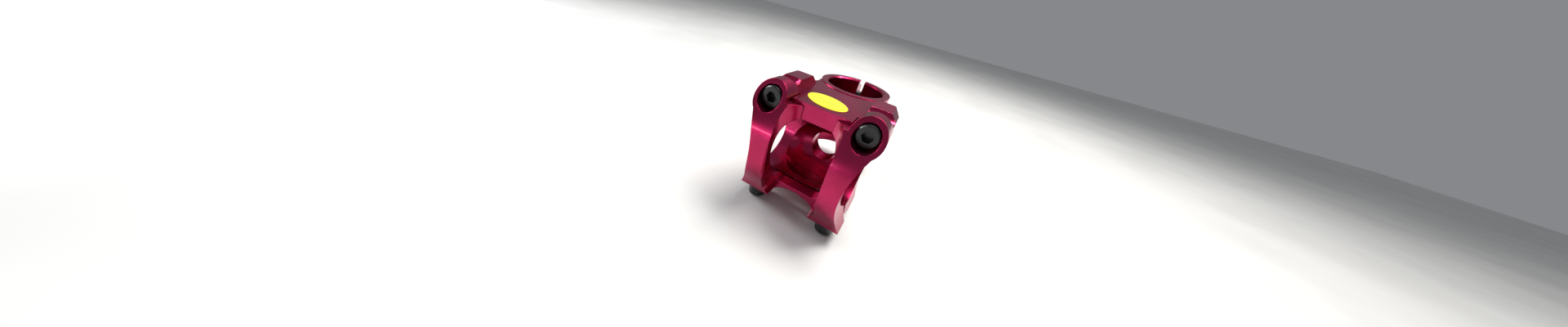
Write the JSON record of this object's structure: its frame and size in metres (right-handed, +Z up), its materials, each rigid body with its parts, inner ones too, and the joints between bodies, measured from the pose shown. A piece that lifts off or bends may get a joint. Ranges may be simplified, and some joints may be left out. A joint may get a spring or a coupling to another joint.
{
  "type": "handlebar stem",
  "caption": "Short zero-rise bicycle stem: split steerer clamp at the back, open two-arm faceplate at the front, socket bolts, oval label on top",
  "frame": {"origin": "on the steerer axis at the height of the bar centre", "axes": "+Z up along the steerer, -Y forward towards the faceplate, X along the handlebar"},
  "size_m": [0.0522, 0.0858, 0.0553],
  "materials": {
    "anodised": "glossy magenta anodised",
    "bolt": "black oxide, semi-gloss",
    "washer": "black oxide, satin",
    "label": "glossy yellow printed film"
  },
  "bodies": {
    "stem": {"stem_body": "anodised", "faceplate": "anodised", "top_label": "label", "upper_left_washer": "washer", "upper_right_washer": "washer", "lower_left_washer": "washer", "lower_right_washer": "washer", "top_pinch_washer": "washer", "bottom_pinch_washer": "washer"},
    "upper_left_screw": {"upper_left_bolt": "bolt"},
    "upper_right_screw": {"upper_right_bolt": "bolt"},
    "lower_left_screw": {"lower_left_bolt": "bolt"},
    "lower_right_screw": {"lower_right_bolt": "bolt"},
    "top_pinch_screw": {"top_pinch_bolt": "bolt"},
    "bottom_pinch_screw": {"bottom_pinch_bolt": "bolt"}
  },
  "joints": [
    {"name": "upper_left_turn", "type": "hinge", "parent": "stem", "child": "upper_left_screw", "pos_m": [-0.0194, -0.0449, 0.0196], "axis": [0, -1, 0], "continuous": true},
    {"name": "upper_right_turn", "type": "hinge", "parent": "stem", "child": "upper_right_screw", "pos_m": [0.0194, -0.0449, 0.0196], "axis": [0, -1, 0], "continuous": true},
    {"name": "lower_left_turn", "type": "hinge", "parent": "stem", "child": "lower_left_screw", "pos_m": [-0.0184, -0.0495, -0.023], "axis": [0, 0, -1], "continuous": true},
    {"name": "lower_right_turn", "type": "hinge", "parent": "stem", "child": "lower_right_screw", "pos_m": [0.0184, -0.0495, -0.023], "axis": [0, 0, -1], "continuous": true},
    {"name": "top_pinch_turn", "type": "hinge", "parent": "stem", "child": "top_pinch_screw", "pos_m": [-0.0156, 0.0196, 0.0124], "axis": [-1, 0, 0], "continuous": true},
    {"name": "bottom_pinch_turn", "type": "hinge", "parent": "stem", "child": "bottom_pinch_screw", "pos_m": [0.0156, 0.0196, -0.0104], "axis": [1, 0, 0], "continuous": true}
  ]
}
